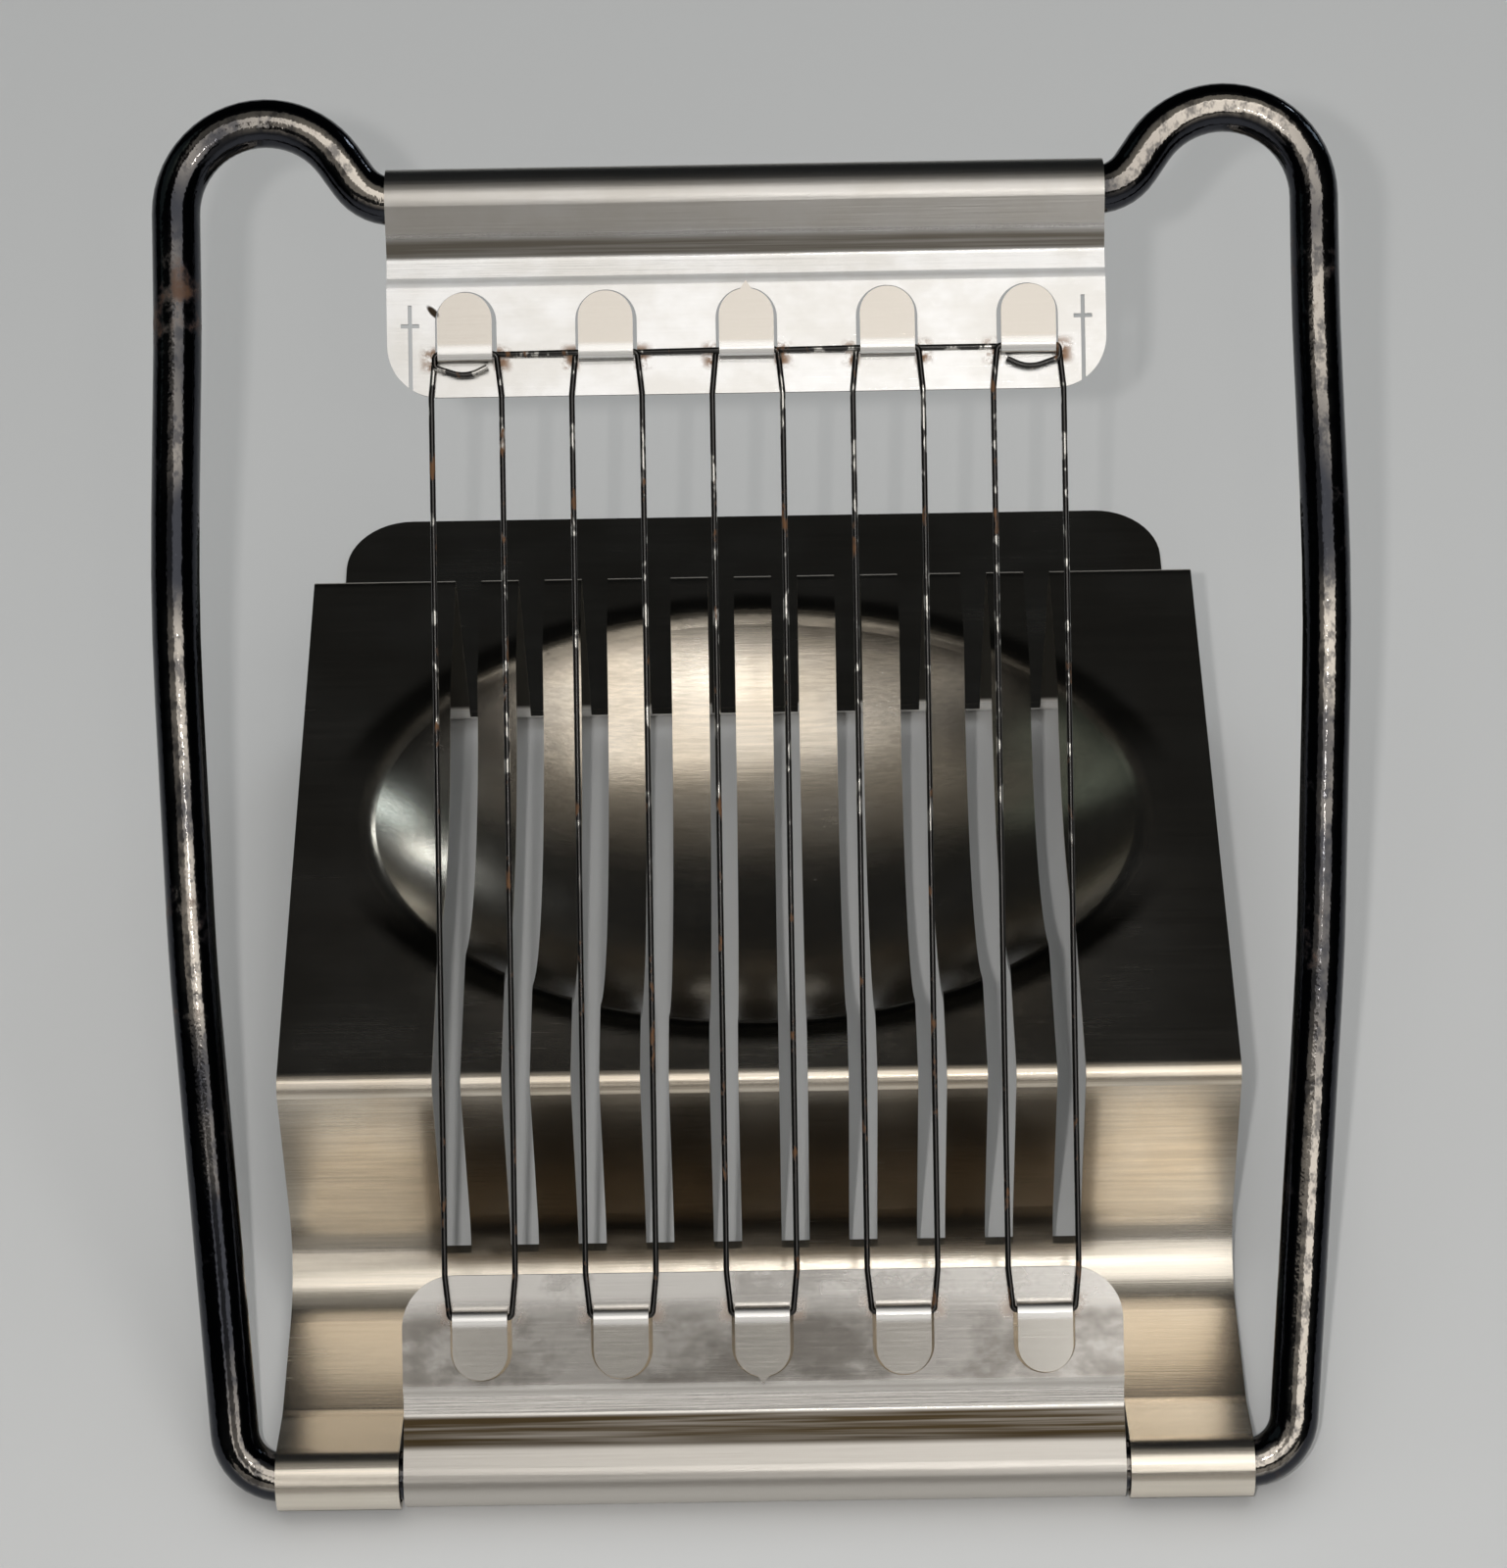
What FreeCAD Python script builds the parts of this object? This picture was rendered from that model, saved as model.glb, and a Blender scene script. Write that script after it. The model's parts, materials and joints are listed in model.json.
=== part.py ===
# Egg slicer: a slotted sheet base with an egg dish, and a wire frame hinged to its back edge.
# Millimetres, +X to the right, +Y from the hinge to the front, +Z up. The slicer stands on Z = 0,
# and the origin is the middle of its footprint.
import FreeCAD, Part
import math
import os
from FreeCAD import Placement, Rotation, Vector
from Sketcher import Constraint

doc = FreeCAD.newDocument("egg_slicer")


# Sizes
# Each one is written once, in a cell whose alias is its name.
SIZES = [
    # The rod, and the sheets that are rolled round it
    ("rod_diameter", 4.2),
    ("bore_clearance", 0.2),
    ("grip_clearance", 0.1),
    ("base_thickness", 0.6),
    ("clip_thickness", 0.5),
    # The base's side profile, measured on its upper face, from the hinge axis forwards
    ("base_width", 84.0),
    ("barrel_length", 10.6),
    ("barrel_wrap", 235.0),
    ("crease_setback", 6.0),
    ("crease_height", 3.3),
    ("crease_radius", 3.0),
    ("valley_height", 1.6),
    ("valley_radius", 7.0),
    ("ramp_run", 4.7),
    ("ridge_setback", 27.1),
    ("ridge_radius", 1.8),
    ("ridge_flat", 4.1),
    ("cup_height", 22.8),
    ("fold_flat", 2.9),
    ("fold_radius", 1.0),
    ("wall_lean", 1.6),
    ("foot_bend_radius", 1.2),
    ("foot_margin", 3.2),
    ("foot_corner", 6.5),
    ("notch_slit", 0.4),
    ("notch_depth", 6.5),
    # The drawn dish, at the level of the cup plane and inside its rounded rim
    ("dish_length", 70.9),
    ("dish_width", 48.4),
    ("dish_depth", 12.0),
    ("rim_radius", 2.4),
    # The wire, and the slots that let it through the base
    ("wire_diameter", 0.5),
    ("wire_bend", 0.4),
    ("wire_sweep", 3.0),
    ("wire_lead", 0.5),
    ("lay_gap", 0.06),
    ("tail_bow", 0.9),
    ("tail_tuck", 0.5),
    ("slot_width", 2.5),
    ("slot_foot", 1.3),
    ("slot_clearance", 0.4),
    # The clips, measured from the axis of the rod that they are rolled round
    ("clip_margin", 3.775),
    ("clip_reach", 17.3),
    ("clip_corner", 4.5),
    ("clip_gap", 4.0),
    ("clip_wrap", 250.0),
    ("plate_rise", 1.8),
    ("neck_setback", 5.35),
    ("neck_rise", 1.1),
    ("neck_radius", 0.9),
    ("land_setback", 7.05),
    ("land_rise", 1.3),
    ("land_radius", 0.35),
    ("shoulder_setback", 7.5),
    ("shoulder_radius", 0.65),
    ("tongue_width", 4.7),
    ("tongue_length", 6.0),
    ("tongue_setback", 14.5),
    ("tongue_gap", 1.3),
    ("tongue_slit", 0.3),
    ("tongue_bend", 0.45),
    ("nib_length", 0.7),
    ("nib_width", 2.6),
    ("nip_setback", 2.0),
    ("nip_depth", 8.0),
    ("nip_slit", 0.35),
    ("nip_bar", 1.6),
    ("nip_bar_depth", 6.2),
    # The rod's bends: gaps to the base's side, and distances back from the upper clip's axis
    ("bend_radius", 4.2),
    ("hinge_gap", 3.45),
    ("bow_gap", 6.75),
    ("widest_gap", 7.95),
    ("waist_gap", 7.3),
    ("bow_back", 66.0),
    ("widest_back", 35.0),
    ("waist_back", 11.0),
    ("arm_radius", 250.0),
    ("loop_radius", 7.8),
    ("loop_descent", 55.0),
    ("rod_inset", 0.6),
    ("rod_end_gap", 0.4),
    # The frame's angle above the table as it stands
    ("rest_angle", 39.5),
]
WIRES = 10
TONGUES = WIRES // 2

sheet = doc.addObject("Spreadsheet::Sheet", "Sizes")
for row, (alias, value) in enumerate(SIZES, start=1):
    sheet.set("A%d" % row, alias)
    sheet.set("B%d" % row, str(value))
    sheet.setAlias("B%d" % row, alias)
doc.recompute()


def size(alias):
    """The value in the cell of that name."""
    return float(getattr(sheet, alias))


def cell(alias):
    """The expression that names a cell."""
    return "Sizes." + alias


# Places that follow from the sizes
rod_r = size("rod_diameter") / 2
wire_r = size("wire_diameter") / 2
base_t = size("base_thickness")
clip_t = size("clip_thickness")
barrel_r = rod_r + size("bore_clearance") + base_t
tube_r = rod_r + size("grip_clearance") + clip_t
base_half = size("base_width") / 2
clip_half = base_half - size("barrel_length") - size("notch_slit")
wire_pitch = 2 * (clip_half - size("clip_margin")) / (WIRES - 1)
hinge_z = barrel_r
rim_half = size("dish_width") / 2 + size("rim_radius")
dish_y = size("ridge_setback") + size("ridge_flat") + rim_half
fold_y = dish_y + rim_half + size("fold_flat")
wall_foot_y = fold_y + size("wall_lean")
tube_y = wall_foot_y + size("clip_gap") + size("clip_reach")
foot_y = tube_y + tube_r + size("foot_margin")
middle_y = (foot_y - barrel_r) / 2
wire_low = size("plate_rise") + size("lay_gap") + wire_r
wire_high = wire_low + 2 * (wire_r + size("lay_gap"))
span_y = size("clip_reach") + size("wire_lead")
span_x = [(number - (WIRES - 1) / 2) * wire_pitch for number in range(WIRES)]
tongue_x = [(span_x[2 * number] + span_x[2 * number + 1]) / 2 for number in range(TONGUES)]

CLIP_WIDTH = "(Sizes.base_width - 2 * (Sizes.barrel_length + Sizes.notch_slit))"
WIRE_PITCH = "(%s - 2 * Sizes.clip_margin) / %d" % (CLIP_WIDTH, WIRES - 1)
BASE_PLACE = Placement(Vector(0, -middle_y, 0), Rotation())
FRAME_PLACE = Placement(Vector(0, -middle_y, hinge_z), Rotation(Vector(1, 0, 0), size("rest_angle")))
UPPER_PLACE = FRAME_PLACE * Placement(Vector(0, tube_y, 0), Rotation(Vector(0, 0, 1), 180))


# Bent profiles
# A bent strip, rod or wire is drawn as corner points with bend radii, as on a bending drawing.
def bend_line(corners, radii):
    """Straight runs and tangent arcs through corner points, each turn rounded to its radius."""
    parts = []
    at = corners[0]
    for before, corner, after, radius in zip(corners, corners[1:], corners[2:], radii):
        back = (before - corner).normalize()
        ahead = (after - corner).normalize()
        half_turn = (math.pi - back.getAngle(ahead)) / 2
        if half_turn < 1e-6:
            continue
        setback = radius * math.tan(half_turn)
        start = corner + back * setback
        end = corner + ahead * setback
        crown = corner + (back + ahead).normalize() * (radius / math.cos(half_turn) - radius)
        if (start - at).Length > 1e-6:
            parts.append(Part.LineSegment(at, start))
        parts.append(Part.Arc(start, crown, end))
        at = end
    if (corners[-1] - at).Length > 1e-6:
        parts.append(Part.LineSegment(at, corners[-1]))
    return parts


def rolled_line(corners, radii, centre, radius, wrap):
    """A bend line that runs onto the top of a roll and wraps round it."""
    reach = corners[-1] - centre
    first = math.atan2(reach.y, reach.x) + math.acos(radius / reach.Length)
    angles = [first + math.radians(wrap) * share for share in (0, 0.5, 1)]
    points = [centre + Vector(math.cos(angle), math.sin(angle)) * radius for angle in angles]
    return bend_line(corners + [points[0]], radii) + [Part.Arc(*points)]


def strip_section(outer, thickness):
    """The closed section of a bent strip: its outer line, the line one thickness to its left, two ends."""
    inner = []
    for part in outer:
        edge = part.toShape()
        points = []
        for share in (0, 0.5, 1):
            value = edge.FirstParameter + share * (edge.LastParameter - edge.FirstParameter)
            heading = edge.tangentAt(value)
            points.append(edge.valueAt(value) + Vector(-heading.y, heading.x) * thickness)
        straight = isinstance(part, Part.LineSegment)
        inner.append(Part.LineSegment(points[0], points[2]) if straight else Part.Arc(*points))
    far_end = Part.LineSegment(outer[-1].EndPoint, inner[-1].EndPoint)
    near_end = Part.LineSegment(inner[0].StartPoint, outer[0].StartPoint)
    return outer + [far_end] + inner + [near_end]


# Features
def new_body(label, placement):
    """An empty body, named for its sub-part, in its place."""
    body = doc.addObject("PartDesign::Body", label)
    body.Label = label
    body.Placement = placement
    return body


def origin_item(body, role):
    """One of the body's own origin planes or axes."""
    return [item for item in body.Origin.OriginFeatures if item.Role == role][0]


def sketch_on(body, name, role, parts, offset=Vector()):
    """Lines, arcs and circles on one of the body's origin planes, moved within it and along its normal."""
    sketch = body.newObject("Sketcher::SketchObject", name)
    sketch.AttachmentSupport = [(origin_item(body, role), "")]
    sketch.MapMode = "FlatFace"
    sketch.AttachmentOffset = Placement(offset, Rotation())
    for part in parts:
        sketch.addGeometry(part, False)
    join_ends(sketch)
    return sketch


def join_ends(sketch):
    """Make the ends that meet in a sketch coincide."""
    count = sketch.GeometryCount
    ends = [(number, place) for number in range(count) for place in (1, 2) if count > 1]
    for index, (number, place) in enumerate(ends):
        for other, other_place in ends[index + 1:]:
            gap = sketch.getPoint(number, place) - sketch.getPoint(other, other_place)
            if other != number and gap.Length < 1e-6:
                sketch.addConstraint(Constraint("Coincident", number, place, other, other_place))


def hold_radius(sketch, number, name, expression):
    """Bind the radius of one arc or circle of a sketch to the sizes."""
    place = sketch.addConstraint(Constraint("Radius", number, sketch.Geometry[number].Radius))
    sketch.renameConstraint(place, name)
    sketch.setExpression("Constraints." + name, expression)


def outline(*corners):
    """Lines round a closed outline."""
    points = [Vector(*corner) for corner in corners]
    return [Part.LineSegment(a, b) for a, b in zip(points, points[1:] + points[:1])]


def across(body, kind, name, sketch, length):
    """A pad or pocket that reaches equally to both sides of its sketch."""
    feature = body.newObject("PartDesign::" + kind, name)
    feature.Profile = sketch
    feature.SideType = "Symmetric"
    feature.setExpression("Length", length)
    return feature


def row_of(body, name, original, spacing, count):
    """A feature repeated along X."""
    feature = body.newObject("PartDesign::LinearPattern", name)
    feature.Originals = [original]
    feature.Direction = (origin_item(body, "X_Axis"), [""])
    feature.Mode = "Spacing"
    feature.setExpression("Offset", spacing)
    feature.Occurrences = count
    body.Tip = feature
    return feature


def rounding(body, name, base, radius, wanted):
    """A fillet on those edges of a feature that a test picks out."""
    doc.recompute()
    feature = body.newObject("PartDesign::Fillet", name)
    edges = enumerate(base.Shape.Edges, start=1)
    feature.Base = (base, ["Edge%d" % number for number, edge in edges if wanted(edge)])
    feature.setExpression("Radius", radius)
    body.Tip = feature
    return feature


# Base plate
# One sheet: a foot, a front wall, the cup plane with its dish, a ramp and a trough, rolled into a hinge
# at the back, and slotted for the wires.
def make_base_plate():
    cup_z = size("cup_height")
    outside = joined("Fuse", "sheet_and_dish", make_bent_sheet(), make_dish_outside())
    under = rim_fillet("rim_under", outside, size("rim_radius") + base_t, cup_z - base_t)
    hollow = joined("Cut", "dished_sheet", under, make_dish_inside())
    dished = rim_fillet("rim_over", hollow, size("rim_radius"), cup_z)
    plate = joined("Cut", "base_plate", dished, make_slots())
    plate.Placement = BASE_PLACE
    return plate


def make_bent_sheet():
    """The sheet after its bends and before its dish, with round foot corners and a notch in the roll."""
    body = new_body("bent_sheet", Placement())
    ridge_y = size("ridge_setback")
    cup_z = size("cup_height")
    corners = [
        Vector(foot_y, base_t),
        Vector(wall_foot_y, base_t),
        Vector(fold_y, cup_z),
        Vector(ridge_y, cup_z),
        Vector(ridge_y - size("ramp_run"), size("valley_height")),
        Vector(size("crease_setback"), size("crease_height")),
    ]
    bends = ["foot_bend_radius", "fold_radius", "ridge_radius", "valley_radius", "crease_radius"]
    radii = [size(bend) for bend in bends]
    line = rolled_line(corners, radii, Vector(0, hinge_z), barrel_r, size("barrel_wrap"))
    section = sketch_on(body, "base_section", "YZ_Plane", strip_section(line, base_t))
    arcs = [number for number, part in enumerate(line) if isinstance(part, Part.Arc)]
    for number, bend in zip(arcs, bends):
        hold_radius(section, number, bend, cell(bend))
    bent = across(body, "Pad", "base_sheet", section, cell("base_width"))
    rounding(body, "foot_corners", bent, cell("foot_corner"),
             lambda edge: abs(edge.CenterOfMass.y - foot_y) < 1e-4 and edge.Length < 2 * base_t)

    notch_half = clip_half + size("notch_slit")
    notch_y = size("notch_depth")
    notch = outline((-notch_half, -2 * barrel_r), (notch_half, -2 * barrel_r),
                    (notch_half, notch_y), (-notch_half, notch_y))
    across(body, "Pocket", "hinge_notch", sketch_on(body, "notch_outline", "XY_Plane", notch),
           "4 * " + cell("cup_height"))
    return body


def make_dish_outside():
    """The underside of the dish: the end of an egg, cut off level with the cup plane."""
    body = new_body("dish_outside", Placement())
    turned_egg(body, "egg_outside", base_t)
    reach = size("dish_length")
    top = outline((-reach, 0), (reach, 0), (reach, foot_y), (-reach, foot_y))
    trim = body.newObject("PartDesign::Pocket", "level_trim")
    trim.Profile = sketch_on(body, "level_outline", "XY_Plane", top, Vector(0, 0, size("cup_height")))
    trim.Reversed = True
    trim.setExpression("Length", "2 * " + cell("dish_length"))
    return body


def make_dish_inside():
    """The egg that the dish holds."""
    body = new_body("dish_inside", Placement())
    turned_egg(body, "egg_inside", 0)
    return body


def turned_egg(body, name, wall):
    """An egg turned about an axis over the dish, so that the cup plane cuts the dish's oval out of it."""
    half_width = size("dish_width") / 2
    depth = size("dish_depth")
    radius = (half_width ** 2 + depth ** 2) / (2 * depth)
    axis_rise = radius - depth
    half_length = size("dish_length") / 2 / math.sqrt(1 - (axis_rise / radius) ** 2)
    half_oval = Part.ArcOfEllipse(Part.Ellipse(Vector(), half_length + wall, radius + wall), 0, math.pi)
    axis = Part.LineSegment(half_oval.EndPoint, half_oval.StartPoint)
    feature = body.newObject("PartDesign::Revolution", name)
    feature.Profile = sketch_on(body, name + "_outline", "XZ_Plane", [half_oval, axis],
                                Vector(0, size("cup_height") + axis_rise, -dish_y))
    feature.ReferenceAxis = (feature.Profile[0], ["H_Axis"])
    feature.Angle = 360


def make_slots():
    """The slots' room: from low on the ramp, over the dish, to the foot of the front wall."""
    body = new_body("slot_room", Placement())
    body.AllowCompound = True
    top = 2 * size("cup_height")
    back_y = (size("crease_setback") + size("ridge_setback")) / 2
    back_z = hinge_z + wire_low - wire_r - size("slot_clearance")
    front_z = size("slot_foot")
    cut = outline((back_y, back_z), (dish_y, back_z), (dish_y, front_z),
                  (foot_y, front_z), (foot_y, top), (back_y, top))
    slot = sketch_on(body, "slot_outline", "YZ_Plane", cut, Vector(0, 0, span_x[0]))
    first_slot = across(body, "Pad", "first_slot", slot, cell("slot_width"))
    row_of(body, "slots", first_slot, WIRE_PITCH, WIRES)
    return body


def joined(kind, label, base, tool):
    """The union of two shapes, or the first less the second."""
    feature = doc.addObject("Part::" + kind, label)
    feature.Label = label
    feature.Base = base
    feature.Tool = tool
    feature.Refine = False
    doc.recompute()
    return feature


def rim_fillet(name, base, radius, level):
    """The dish's edge at a level, rounded."""
    feature = doc.addObject("Part::Fillet", name)
    feature.Base = base
    edges = enumerate(base.Shape.Edges, start=1)
    feature.Edges = [(number, radius, radius) for number, edge in edges if runs_round_dish(edge, level)]
    doc.recompute()
    return feature


def runs_round_dish(edge, level):
    """Whether an edge is a curve at that level."""
    points = [edge.valueAt(value) for value in (edge.FirstParameter, edge.LastParameter)]
    level_ends = all(abs(point.z - level) < 1e-3 for point in points)
    inside = abs(edge.CenterOfMass.y - dish_y) < rim_half and abs(edge.CenterOfMass.z - level) < 1e-3
    return level_ends and inside and not isinstance(edge.Curve, Part.Line)


# Frame rod
# One round rod, from the middle of the upper clip, over the right loop, down the right arm, through the
# hinge, and up the left side in the same way.
def make_frame_rod():
    body = new_body("frame_rod", FRAME_PLACE)
    descent = math.radians(size("loop_descent"))
    ease = math.tan(descent / 2)
    arm_x = base_half + size("waist_gap")
    mouth_x = clip_half - size("rod_inset")
    loop_x = arm_x - size("loop_radius")
    fall = loop_x - mouth_x - (size("loop_radius") + size("bend_radius")) * ease
    peak_y = tube_y + fall * math.tan(descent)
    right = [
        Vector(size("rod_end_gap") / 2, tube_y),
        Vector(mouth_x + size("bend_radius") * ease, tube_y),
        Vector(loop_x - size("loop_radius") * ease, peak_y),
        Vector(arm_x, peak_y),
        Vector(arm_x, tube_y - size("waist_back")),
        Vector(base_half + size("widest_gap"), tube_y - size("widest_back")),
        Vector(base_half + size("bow_gap"), tube_y - size("bow_back")),
        Vector(base_half + size("hinge_gap"), 0),
    ]
    left = [Vector(-point.x, point.y) for point in reversed(right)]
    bends = ["bend_radius"] + 2 * ["loop_radius"] + 3 * ["arm_radius"] + ["bend_radius"]
    radii = [size(bend) for bend in bends + bends[::-1]]
    path = sketch_on(body, "rod_path", "XY_Plane", bend_line(right + left, radii))
    circle = Part.Circle(Vector(tube_y, 0), Vector(0, 0, 1), rod_r)
    end = sketch_on(body, "rod_end", "YZ_Plane", [circle], Vector(0, 0, size("rod_end_gap") / 2))
    hold_radius(end, 0, "rod_radius", cell("rod_diameter") + " / 2")
    rod = body.newObject("PartDesign::AdditivePipe", "rod")
    rod.Profile = end
    rod.Spine = path
    return body


# Clips
# Two stampings: a sheet rolled round the rod, a narrow land, a step up to the plate, and five tongues lanced
# up from it. Only the upper one is nipped at its ends.
def make_clip(label, placement):
    body = new_body(label, placement)
    rise = size("plate_rise")
    corners = [
        Vector(size("clip_reach"), rise),
        Vector(size("shoulder_setback"), rise),
        Vector(size("land_setback"), size("land_rise")),
        Vector(size("neck_setback"), size("neck_rise")),
    ]
    bends = ["shoulder_radius", "land_radius", "neck_radius"]
    line = rolled_line(corners, [size(bend) for bend in bends], Vector(), tube_r, size("clip_wrap"))
    section = sketch_on(body, label + "_section", "YZ_Plane", strip_section(line, clip_t))
    sheet_pad = across(body, "Pad", label + "_sheet", section, CLIP_WIDTH)
    rounding(body, label + "_corners", sheet_pad, cell("clip_corner"),
             lambda edge: abs(edge.CenterOfMass.y - size("clip_reach")) < 1e-4 and edge.Length < 2 * clip_t)

    # Each tongue leaves a hole of its own outline, and bends up and back over it to hook the wire.
    riser_y = size("tongue_setback")
    tip_y = riser_y - size("tongue_length")
    half = size("tongue_width") / 2
    slit = size("tongue_slit")
    hole_half = half + slit
    hole = [
        Part.LineSegment(Vector(hole_half, tip_y + half), Vector(hole_half, riser_y - clip_t)),
        Part.LineSegment(Vector(hole_half, riser_y - clip_t), Vector(-hole_half, riser_y - clip_t)),
        Part.LineSegment(Vector(-hole_half, riser_y - clip_t), Vector(-hole_half, tip_y + half)),
        Part.Arc(Vector(-hole_half, tip_y + half), Vector(0, tip_y - slit), Vector(hole_half, tip_y + half)),
    ]
    for part in hole:
        part.translate(Vector(tongue_x[0], 0))
    hole_sketch = sketch_on(body, label + "_hole_outline", "XY_Plane", hole)
    first_hole = across(body, "Pocket", label + "_first_hole", hole_sketch, "4 * " + cell("plate_rise"))
    row_of(body, label + "_holes", first_hole, "2 * " + WIRE_PITCH, TONGUES)

    crown = rise + size("tongue_gap") + clip_t
    hook = [Vector(riser_y, rise - clip_t), Vector(riser_y, crown), Vector(tip_y, crown)]
    bent = strip_section(bend_line(hook, [size("tongue_bend") + clip_t]), clip_t)
    tongue_sketch = sketch_on(body, label + "_tongue_section", "YZ_Plane", bent, Vector(0, 0, tongue_x[0]))
    hold_radius(tongue_sketch, 1, "outer_bend", cell("tongue_bend") + " + " + cell("clip_thickness"))
    first_tongue = across(body, "Pad", label + "_first_tongue", tongue_sketch, cell("tongue_width"))
    tongues = row_of(body, label + "_tongues", first_tongue, "2 * " + WIRE_PITCH, TONGUES)
    rounding(body, label + "_tips", tongues, "0.49 * " + cell("tongue_width"),
             lambda edge: abs(edge.CenterOfMass.y - tip_y) < 1e-4 and edge.BoundBox.XLength < 1e-4)

    # The middle tongue is pointed.
    nib_half = size("nib_width") / 2
    root_y = tip_y + nib_half
    nib = outline((nib_half, root_y), (-nib_half, root_y), (0, tip_y - size("nib_length")))
    nib_pad = body.newObject("PartDesign::Pad", label + "_nib")
    nib_pad.Profile = sketch_on(body, label + "_nib_outline", "XY_Plane", nib, Vector(0, 0, crown))
    nib_pad.Reversed = True
    nib_pad.setExpression("Length", cell("clip_thickness"))
    body.Tip = nib_pad
    return body


def make_upper_clip():
    """The clip with a cross-shaped nip in the plate at each end."""
    body = make_clip("upper_clip", UPPER_PLACE)
    nip_x = size("nip_setback") - clip_half
    edge_y = size("clip_reach")
    bar_y = edge_y - size("nip_bar_depth")
    half = size("nip_slit") / 2
    arm = size("nip_bar") / 2
    right = [(half, edge_y), (half, bar_y + half), (arm, bar_y + half),
             (arm, bar_y - half), (half, bar_y - half), (half, edge_y - size("nip_depth"))]
    left = [(-x, y) for x, y in reversed(right)]
    nip = outline(*[(nip_x + x, y) for x, y in right + left])
    first_nip = across(body, "Pocket", "first_nip", sketch_on(body, "nip_outline", "XY_Plane", nip),
                       "4 * " + cell("plate_rise"))
    row_of(body, "nips", first_nip, CLIP_WIDTH + " - 2 * " + cell("nip_setback"), 2)
    return body


# Cutting wire
# One wire, laced to and fro: its spans, its turns round the lower tongues, its runs from each upper tongue
# to the next, where a second layer lies on the first, and its two ends, tucked round the outer tongues.
hug = size("tongue_width") / 2 + wire_r + size("lay_gap")
hook_y = size("tongue_setback") - clip_t - wire_r - size("lay_gap")


def make_span(number):
    span = doc.addObject("Part::Cylinder", "span_%d" % number)
    span.Label = "cutting_wire_%02d" % (number + 1)
    span.setExpression("Radius", cell("wire_diameter") + " / 2")
    span.Height = tube_y - 2 * span_y
    lie_down = Rotation(Vector(1, 0, 0), -90)
    span.Placement = FRAME_PLACE * Placement(Vector(span_x[number], span_y, wire_low), lie_down)
    return span


def lead(number):
    """The two points that bring a span straight onto a clip's plate."""
    return [Vector(span_x[number], span_y, wire_low), Vector(span_x[number], size("clip_reach"), wire_low)]


def under(number, level):
    """The two points on either side of a tongue, below its flat."""
    return [Vector(tongue_x[number] + side * hug, hook_y, level) for side in (-1, 1)]


def tail(number, side):
    """The points that carry the wire's end round a tongue's outer edge and across its riser."""
    front_y = size("tongue_setback") + wire_r + size("lay_gap")
    tuck_x = size("tongue_width") / 2 - size("tail_tuck")
    plan = [(-tuck_x, front_y), (0, front_y + size("tail_bow")), (hug, front_y)]
    return [Vector(tongue_x[number] + side * x, y, wire_high) for x, y in plan]


def at_top(points):
    """The same points on the upper clip, which faces the lower one."""
    return [Vector(point.x, tube_y - point.y, point.z) for point in points]


def laced(label, points, radii):
    """Wire along a bent path of the frame."""
    path = Part.Wire([part.toShape() for part in bend_line(points, radii)])
    ring = Part.Wire([Part.Circle(points[0], points[1] - points[0], wire_r).toShape()])
    wire = doc.addObject("Part::Feature", label)
    wire.Label = label
    wire.Shape = path.makePipeShell([ring], True, False)
    wire.Placement = FRAME_PLACE
    return wire


def make_laced_wire():
    sweep = size("wire_sweep")
    bend = size("wire_bend")
    nodes = []
    for number in range(TONGUES):
        turn = lead(2 * number) + under(number, wire_low) + lead(2 * number + 1)[::-1]
        nodes.append(laced("wire_turn_%d" % (number + 1), turn, [sweep, bend, bend, sweep]))
    last = TONGUES - 1
    for number in range(last):
        level = wire_high if number + 1 < last else wire_low
        run = (lead(2 * number) + under(number, wire_low)
               + under(number + 1, level) + lead(2 * number + 3)[::-1])
        radii = [sweep, bend, sweep, sweep, bend, sweep]
        nodes.append(laced("wire_run_%d" % (number + 1), at_top(run), radii))
    for label, number, side, span in (("left", 0, -1, 1), ("right", last, 1, WIRES - 2)):
        end = tail(number, side) + under(number, wire_high)[::-side] + lead(span)[::-1]
        nodes.append(laced("wire_end_" + label, at_top(end), [sweep, bend, bend, bend, sweep]))
    return nodes


subparts = [make_base_plate(), make_frame_rod()]
subparts += [make_upper_clip(), make_clip("lower_clip", FRAME_PLACE)]
subparts += [make_span(number) for number in range(WIRES)]
subparts += make_laced_wire()
doc.recompute()


# Every object has been rebuilt and every sub-part is one sound solid before anything is written.
failed = [item.Name for item in doc.Objects if "Invalid" in item.State or "Error" in item.State]
if failed:
    raise RuntimeError("not rebuilt: " + ", ".join(failed))
for part in subparts:
    shape = part.Shape
    if shape.isNull() or not shape.isValid() or len(shape.Solids) != 1:
        raise RuntimeError("not one sound solid: " + part.Label)

os.makedirs("parts", exist_ok=True)
for part in subparts:
    part.Shape.exportStep("parts/%s.step" % part.Label)
    print("%-16s %10.2f mm3" % (part.Label, part.Shape.Volume))
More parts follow.
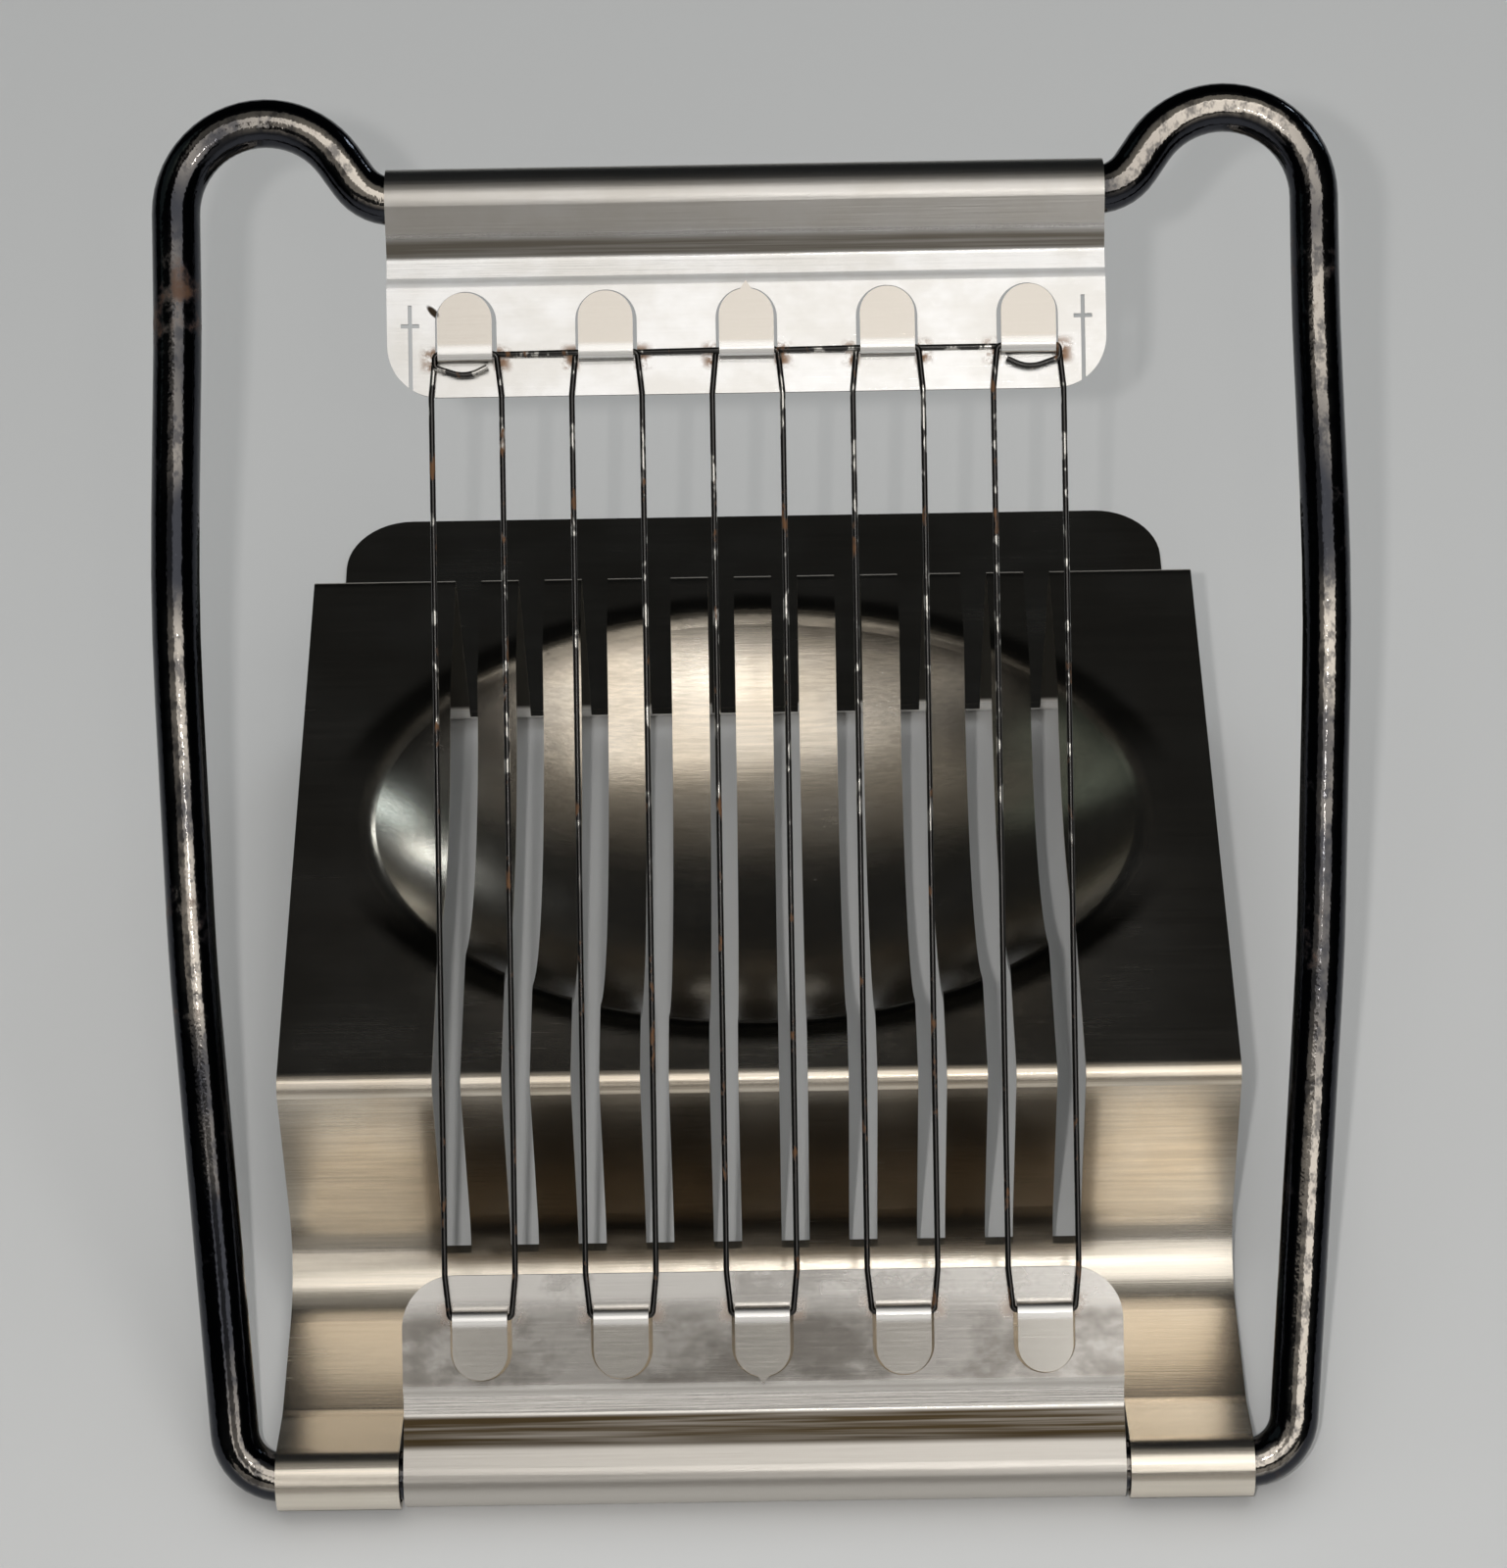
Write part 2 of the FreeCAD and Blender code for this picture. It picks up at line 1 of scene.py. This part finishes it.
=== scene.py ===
import json
import math
import bmesh
import bpy
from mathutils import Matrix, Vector

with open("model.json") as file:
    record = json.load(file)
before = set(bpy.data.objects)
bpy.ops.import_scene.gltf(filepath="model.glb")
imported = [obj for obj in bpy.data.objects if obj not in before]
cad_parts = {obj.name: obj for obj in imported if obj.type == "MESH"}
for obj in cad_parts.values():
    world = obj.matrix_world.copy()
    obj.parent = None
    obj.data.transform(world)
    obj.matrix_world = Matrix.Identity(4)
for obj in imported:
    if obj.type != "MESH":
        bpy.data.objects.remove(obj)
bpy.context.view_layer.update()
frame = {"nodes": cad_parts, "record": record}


# Base plate: one stainless sheet, brushed from side to side, then slotted, drawn and bent. Eggs, hands and
# washing have yellowed it in clouds, and its hidden side was never brushed.
class Shade:
    """A value in a node tree. Arithmetic on it adds maths nodes; node() adds any other node."""

    def __init__(self, tree, socket):
        self.tree = tree
        self.socket = socket

    @classmethod
    def start(cls, name):
        """A new material, its surface shader, and the place of a point on the object."""
        material = bpy.data.materials.new(name)
        material.use_nodes = True
        tree = material.node_tree
        place = tree.nodes.new("ShaderNodeTexCoord")
        return material, tree.nodes["Principled BSDF"], cls(tree, place.outputs["Object"])

    def node(self, kind, out=0, inputs=None, **settings):
        made = self.tree.nodes.new("ShaderNode" + kind)
        for key, value in settings.items():
            setattr(made, key, value)
        for key, value in (inputs or {}).items():
            if isinstance(value, Shade):
                self.tree.links.new(value.socket, made.inputs[key])
            else:
                made.inputs[key].default_value = value
        return Shade(self.tree, made.outputs[out])

    def feed(self, shader, name):
        self.tree.links.new(self.socket, shader.inputs[name])

    def maths(self, operation, a, b):
        return self.node("Math", operation=operation, inputs={0: a, 1: b})

    def __add__(self, other):
        return self.maths("ADD", self, other)

    __radd__ = __add__

    def __sub__(self, other):
        return self.maths("SUBTRACT", self, other)

    def __rsub__(self, other):
        return self.maths("SUBTRACT", other, self)

    def __mul__(self, other):
        return self.maths("MULTIPLY", self, other)

    __rmul__ = __mul__

    def either(self, other):
        return self.maths("MAXIMUM", self, other)

    def axis(self, number):
        return self.node("SeparateXYZ", out=number, inputs={0: self})

    def stretched(self, *scales):
        return self.node("VectorMath", operation="MULTIPLY", inputs={0: self, 1: scales})

    def noise(self, detail, roughness):
        return self.node("TexNoise",
                         inputs={"Vector": self, "Scale": 1.0, "Detail": detail, "Roughness": roughness})

    def ramp(self, low, high, start=0.0, end=1.0):
        return self.node("MapRange", interpolation_type="SMOOTHSTEP",
                         inputs={0: self, 1: low, 2: high, 3: start, 4: end})

    def blend(self, a, b):
        return self.node("Mix", out=2, data_type="RGBA", inputs={0: self, 6: a, 7: b})

    def bump(self, distance, strength):
        return self.node("Bump", inputs={"Height": self, "Distance": distance, "Strength": strength})


def dress(node, material):
    """Give one node of the frame this material and no other."""
    slots = frame["nodes"][node].data.materials
    slots.clear()
    slots.append(material)


steel, skin, at = Shade.start("brushed_base")
across = at.axis(0)
along = at.axis(1)
height = at.axis(2)
grain = at.stretched(60, 9000, 9000).noise(3.0, 0.6)
streak = at.stretched(14, 900, 900).noise(2.0, 0.55)
scratch = at.stretched(90, 3500, 3500).noise(2.0, 0.6)
cloud = at.stretched(55, 70, 70).noise(3.0, 0.6).ramp(0.35, 0.75)
tint = cloud.blend((0.70, 0.61, 0.49, 1), (0.80, 0.73, 0.63, 1))
lined = streak.ramp(0.3, 0.7, 0.94, 1.03) * scratch.ramp(0.3, 0.7, 0.90, 1.06)
tint = tint.node("Mix", out=2, data_type="RGBA", blend_type="MULTIPLY", inputs={0: 1.0, 6: tint, 7: lined})
facing = at.node("TexCoord", out="Normal")
# The trough in front of the hinge is wiped clean.
trough = 1.0 - along.ramp(-0.038, -0.030)
tint = (0.6 * trough).blend(tint, (0.93, 0.87, 0.77, 1))
# The front wall's inner face and the undersides are rougher and painted dark as shade, down to the bend over
# the foot, which is painted pale as a highlight.
inside = (1.0 - facing.axis(1).ramp(-0.6, -0.4)) * along.ramp(0.024, 0.028)
below = 1.0 - facing.axis(2).ramp(-0.5, -0.3)
# Painted highlight: the bend over the foot is painted pale and made less metallic.
foot_bend_highlight = inside * (1.0 - height.ramp(0.0022, 0.0032))
# Painted shade: the hidden faces are darkened as well as roughened.
unbrushed_and_shaded = inside.either(below) * (1.0 - foot_bend_highlight)
tint = unbrushed_and_shaded.blend(tint, (0.08, 0.073, 0.06, 1))
tint = foot_bend_highlight.blend(tint, (0.90, 0.88, 0.84, 1))
# The bars between the slots are painted dark, as shade, where they run down the ramp.
ramp_bars_shade = 1.0 - across.maths("ABSOLUTE", across, 0.0).ramp(0.0290, 0.0302)
ramp_bars_shade = ramp_bars_shade * height.ramp(0.003, 0.006) * (1.0 - height.ramp(0.0195, 0.0212))
ramp_bars_shade = ramp_bars_shade * (1.0 - facing.axis(1).ramp(-0.7, -0.4)) * (1.0 - along.ramp(-0.020, -0.015))
tint = (0.6 * ramp_bars_shade).blend(tint, (0.20, 0.165, 0.125, 1))
# The near half of the dish is painted dark, as shade; the far rim, where ring is 1, and the fold over the
# front wall are darkened too.
dish_middle = (0, 0.0012, 0)
dish_radii = (0.03545, 0.0242, 1000)
ring = at.node("Mapping", vector_type="TEXTURE",
               inputs={"Vector": at, "Location": dish_middle, "Scale": dish_radii})
ring = ring.node("VectorMath", out="Value", operation="LENGTH", inputs={0: ring})
near_dish_shade = ring.ramp(0.55, 0.90) * (1.0 - along.ramp(-0.014, -0.006))
far_rim = 0.8 * ring.ramp(0.90, 1.0) * along.ramp(0.004, 0.012)
dish_shade_and_dark_rim = near_dish_shade.either(far_rim) * (1.0 - ring.ramp(1.07, 1.13))
front_fold = 0.6 * along.ramp(0.0292, 0.0302) * height.ramp(0.0212, 0.0222)
tint = dish_shade_and_dark_rim.either(front_fold).blend(tint, (0.07, 0.063, 0.05, 1))
tint.feed(skin, "Base Color")
(0.17 + 0.10 * grain + 0.05 * cloud + 0.3 * unbrushed_and_shaded).feed(skin, "Roughness")
(1.0 - 0.8 * foot_bend_highlight).feed(skin, "Metallic")
(grain + 0.6 * streak).bump(0.00002, 0.35).feed(skin, "Normal")
dress("base_plate", steel)


# Frame rod: one round steel rod, bent to the frame and plated. The plating has tarnished nearly black, with
# spots of rust. Along the side that faces the lens it is painted bright in broken lengths, a painted sheen.
steel, skin, at = Shade.start("tarnished_rod")
patch = at.stretched(90, 60, 60).noise(4.0, 0.65)
speck = at.stretched(700, 500, 500).noise(3.0, 0.7)
rust = (patch + 0.35 * speck).ramp(0.78, 0.92)
facing = at.node("TexCoord", out="Normal")
toward_lens = (0, -0.636, 0.772)
lens_side_sheen = facing.node("VectorMath", out="Value", operation="DOT_PRODUCT", inputs={0: facing, 1: toward_lens})
length = at.stretched(55, 38, 38).noise(2.0, 0.5)
# Painted sheen: these broken lengths on the side facing the lens are painted bright.
rubbed = lens_side_sheen.ramp(0.84, 0.97) * length.ramp(0.38, 0.56) * speck.ramp(0.36, 0.54, 0.3, 1.0)
tint = rubbed.blend((0.040, 0.042, 0.050, 1), (0.52, 0.475, 0.42, 1))
tint = rust.blend(tint, (0.10, 0.052, 0.03, 1))
tint.feed(skin, "Base Color")
(0.06 + 0.10 * patch + 0.35 * rust).feed(skin, "Roughness")
(1.0 - 0.8 * rust).feed(skin, "Metallic")
(speck + patch).bump(0.0002, 0.25).feed(skin, "Normal")
dress("frame_rod", steel)


# Clips: two like stampings, rolled round the rod and brushed lengthwise. The upper one is bright, the lower
# one stained in clouds and painted dark as shade across its middle. Shade is painted in the crease beside the
# tube, streaked like dirt; each tongue's bend is painted pale as a highlight; the hooked wire has left rust.
# Places on them are read along the frame: reach is out from the tube's axis, rise is up from the rod's plane.
hinge = frame["record"]["behaviour"]["joints"][0]["pos_m"]
rest_angle = math.radians(39.5)
upper_tube = 0.1102
half_pitch = 0.00605
dent_shade_place = (-0.02695, upper_tube - 0.00995, 0)
for name, clean, stain_and_shade_tint, rubbed, crease_dirt_and_shade_tint, crease_dirt_and_shade_start, rusted in (
        ("upper_clip", (0.74, 0.735, 0.73, 1), (0.66, 0.645, 0.62, 1), (0.58, 0.54, 0.49, 1),
         (0.20, 0.18, 0.15, 1), 0.0033, 0.9),
        ("lower_clip", (0.78, 0.75, 0.71, 1), (0.36, 0.335, 0.305, 1), (0.66, 0.63, 0.58, 1),
         (0.085, 0.06, 0.03, 1), 0.0022, 0.4)):
    steel, skin, at = Shade.start(name + "_steel")
    lying = at.node("Mapping", vector_type="TEXTURE",
                    inputs={"Vector": at, "Location": hinge, "Rotation": (rest_angle, 0, 0)})
    reach = lying.axis(1)
    if name == "upper_clip":
        reach = upper_tube - reach
    rise = lying.axis(2)
    from_tongue = lying.maths("PINGPONG", lying.axis(0), half_pitch)
    grain = at.stretched(80, 7000, 7000).noise(3.0, 0.6)
    cloud = at.stretched(130, 190, 190).noise(4.0, 0.6)
    stain_and_shade = cloud.ramp(0.34, 0.66)
    # On the lower clip the stain is darkened across the middle band as painted shade.
    if name == "lower_clip":
        stain_and_shade = stain_and_shade.either(0.3) * reach.ramp(0.0072, 0.0082) * (1.0 - reach.ramp(0.0130, 0.0146))
    tint = stain_and_shade.blend(clean, stain_and_shade_tint)
    tube = 1.0 - reach.ramp(0.0028, 0.0036)
    tint = (0.5 * tube).blend(tint, (0.46, 0.425, 0.375, 1))
    flats = rise.ramp(0.0031, 0.0034) * (1.0 - reach.ramp(0.0130, 0.0138))
    tint = flats.blend(tint, rubbed)
    # Painted highlight: the bend of each tongue is painted pale and made less metallic.
    tongue_bend_highlight = reach.ramp(0.0128, 0.0134) * (1.0 - reach.ramp(0.0139, 0.0143)) * rise.ramp(0.0022, 0.0026)
    tint = tongue_bend_highlight.blend(tint, (0.88, 0.86, 0.83, 1))
    smear = at.stretched(40, 2500, 2500).noise(2.0, 0.6).ramp(0.25, 0.6, 0.7, 1.0)
    # Painted shade: the crease beside the tube is darkened, streaked like dirt.
    crease_dirt_and_shade = reach.ramp(crease_dirt_and_shade_start, crease_dirt_and_shade_start + 0.0007) * (1.0 - reach.ramp(0.0049, 0.0054))
    crease_dirt_and_shade = crease_dirt_and_shade * rise.ramp(0.0, 0.0005) * smear
    tint = crease_dirt_and_shade.blend(tint, crease_dirt_and_shade_tint)
    speck = at.stretched(600, 600, 600).noise(4.0, 0.7)
    hooked = reach.ramp(0.0126, 0.0136) * (1.0 - reach.ramp(0.0146, 0.0154))
    corner = from_tongue.ramp(0.0022, 0.0027) * (1.0 - from_tongue.ramp(0.0031, 0.0042))
    rust = rusted * hooked * corner * speck.ramp(0.38, 0.56)
    tint = rust.blend(tint, (0.26, 0.115, 0.035, 1))
    # A small dent beside the first tongue is painted dark, as its shade.
    if name == "upper_clip":
        dent_shade = lying.node("Mapping", vector_type="TEXTURE",
                          inputs={"Vector": lying, "Location": dent_shade_place,
                                  "Rotation": (0, 0, -0.8), "Scale": (0.0008, 0.0003, 1)})
        dent_shade = dent_shade.node("VectorMath", out="Value", operation="LENGTH", inputs={0: dent_shade})
        tint = dent_shade.ramp(0.7, 1.2).blend((0.03, 0.022, 0.015, 1), tint)
    tint.feed(skin, "Base Color")
    chalk_and_highlight = tongue_bend_highlight
    if name == "lower_clip":
        chalk_and_highlight = tongue_bend_highlight.either(reach.ramp(0.0142, 0.0156) * cloud.ramp(0.30, 0.50))
    step = reach.ramp(0.0068, 0.0071) * (1.0 - reach.ramp(0.0076, 0.0079)) * rise.ramp(0.0, 0.0005)
    (0.17 + 0.10 * grain + 0.10 * tube + 0.2 * crease_dirt_and_shade + 0.3 * rust + 0.3 * step).feed(skin, "Roughness")
    (1.0 - 0.7 * rust - 0.6 * step - 0.5 * chalk_and_highlight).feed(skin, "Metallic")
    (grain + cloud).bump(0.00003, 0.3).feed(skin, "Normal")
    dress(name, steel)


# Cutting wire: one hard drawn steel wire, laced to and fro between the tongues of the two clips. It has gone
# dark, with spots of rust. Over the dish, eggs have rubbed short lengths of it bright.
steel, skin, at = Shade.start("spotted_wire")
rubbed = at.stretched(900, 420, 420).noise(2.0, 0.6).ramp(0.56, 0.63) * at.axis(1).ramp(-0.022, -0.008)
rust = at.stretched(700, 260, 260).noise(3.0, 0.7).ramp(0.58, 0.68)
tint = rubbed.blend((0.07, 0.068, 0.066, 1), (0.66, 0.64, 0.60, 1))
tint = rust.blend(tint, (0.17, 0.085, 0.04, 1))
tint.feed(skin, "Base Color")
(0.24 + 0.4 * rust).feed(skin, "Roughness")
(1.0 - 0.6 * rust).feed(skin, "Metallic")
for name in frame["nodes"]:
    if "wire" in name:
        dress(name, steel)


# Table: a pale, plain, slightly glossy top that the slicer stands on. It is not part of the object.
# Its grey is that of the sheet in the photograph.
mesh = bpy.data.meshes.new("table")
form = bmesh.new()
bmesh.ops.create_grid(form, x_segments=1, y_segments=1, size=3.0)
form.to_mesh(mesh)
form.free()
table = bpy.data.objects.new("table", mesh)
bpy.context.scene.collection.objects.link(table)
pale, skin, _ = Shade.start("table_top")
skin.inputs["Base Color"].default_value = (0.645, 0.648, 0.645, 1)
skin.inputs["Roughness"].default_value = 0.55
mesh.materials.append(pale)


# Camera: the near view of the photograph, from behind the hinge and well above it. The lens is that of a
# 1600 pixel high picture whose focal length is 4367 pixels. Colours are shown plainly, with no film curve.
view = bpy.data.cameras.new("view")
view.sensor_fit = "VERTICAL"
view.sensor_height = 36.0
view.lens = view.sensor_height * 4367.0 / 1600.0
view.clip_start = 0.01
camera = bpy.data.objects.new("camera", view)
camera.location = (0.0016, -0.2501, 0.3230)
camera.rotation_euler = (0.70253, 0.01385, -0.00953)
bpy.context.scene.collection.objects.link(camera)
bpy.context.scene.camera = camera
bpy.context.scene.view_settings.view_transform = "Standard"


# Light: a small lamp beside the lens throws the shadows, and a pale ceiling, a wall and two windows of a dim
# room show in the metal. A lamp that is not mirrored only lights. The world adds the room's last faint glow.
for name, spot, aim, wide, high, glow, colour, mirrored in (
        ("key", (-0.018, -0.2475, 0.328), (0, 0, 0.02), 0.007, 0.007, 2500.0, (1.0, 0.98, 0.96), False),
        ("glint", (0.030, -0.2475, 0.33), (0, 0, 0.02), 0.012, 0.012, 60.0, (1.0, 0.98, 0.96), True),
        ("fill", (0.0, 0.30, 0.90), (0, 0, 0), 1.0, 1.0, 1.3, (0.97, 0.99, 1.0), False),
        ("ceiling", (0.12, -0.447, 0.663), (0, 0, 0.02), 0.74, 0.78, 1.3, (1.0, 0.98, 0.95), True),
        ("overhead", (0.0, 0.0, 1.0), (0, 0, 0), 1.2, 0.5, 0.20, (1.0, 0.97, 0.90), True),
        ("wall", (0.0, -1.20, 0.15), (0, 0, 0.1), 2.0, 0.6, 0.27, (1.0, 0.96, 0.90), True),
        ("window", (0.84, 0.61, 0.35), (0, 0, 0.02), 0.16, 0.30, 2.0, (0.76, 0.92, 1.0), True),
        ("next_window", (0.647, 0.79, 0.40), (0, 0, 0.02), 0.10, 0.10, 8.0, (0.85, 0.94, 1.0), True),
        ("far_room", (-0.95, 0.20, 0.68), (0, 0, 0.02), 0.8, 0.6, 0.12, (0.78, 1.0, 0.90), True)):
    lamp = bpy.data.lights.new(name, "AREA")
    lamp.shape = "RECTANGLE"
    lamp.size = wide
    lamp.size_y = high
    lamp.color = colour
    lamp.energy = math.pi * wide * high * glow
    light = bpy.data.objects.new(name, lamp)
    light.location = spot
    light.rotation_euler = (Vector(spot) - Vector(aim)).to_track_quat("Z", "Y").to_euler()
    light.visible_glossy = mirrored
    bpy.context.scene.collection.objects.link(light)

world = bpy.data.worlds.new("room")
world.use_nodes = True
bpy.context.scene.world = world
room = world.node_tree.nodes["Background"]
room.inputs["Color"].default_value = (0.80, 0.90, 1.0, 1)
room.inputs["Strength"].default_value = 0.012


# Dark cards: two boards near the lens, as a photographer hangs them, which are seen only in the metal. They
# grey the lower clip's flats and the right half of the dish.
black, skin, _ = Shade.start("card_black")
skin.inputs["Base Color"].default_value = (0.03, 0.03, 0.03, 1)
skin.inputs["Roughness"].default_value = 0.9
skin.inputs["Emission Color"].default_value = (1.0, 0.97, 0.92, 1)
skin.inputs["Emission Strength"].default_value = 0.23
turn = Vector((0, -0.695, 0.72)).to_track_quat("Z", "Y").to_matrix()
for name, spot, wide, high in (
        ("card_middle", (-0.008, -0.227, 0.189), 0.105, 0.085),
        ("card_left", (-0.1925, -0.251, 0.357), 0.215, 0.15)):
    mesh = bpy.data.meshes.new(name)
    form = bmesh.new()
    bmesh.ops.create_grid(form, x_segments=1, y_segments=1, size=0.5)
    bmesh.ops.scale(form, vec=(wide, high, 1.0), verts=form.verts)
    bmesh.ops.rotate(form, matrix=turn, verts=form.verts)
    bmesh.ops.translate(form, vec=spot, verts=form.verts)
    form.to_mesh(mesh)
    form.free()
    mesh.materials.append(black)
    card = bpy.data.objects.new(name, mesh)
    bpy.context.scene.collection.objects.link(card)
    card.visible_camera = False
    card.visible_shadow = False
    card.visible_diffuse = False
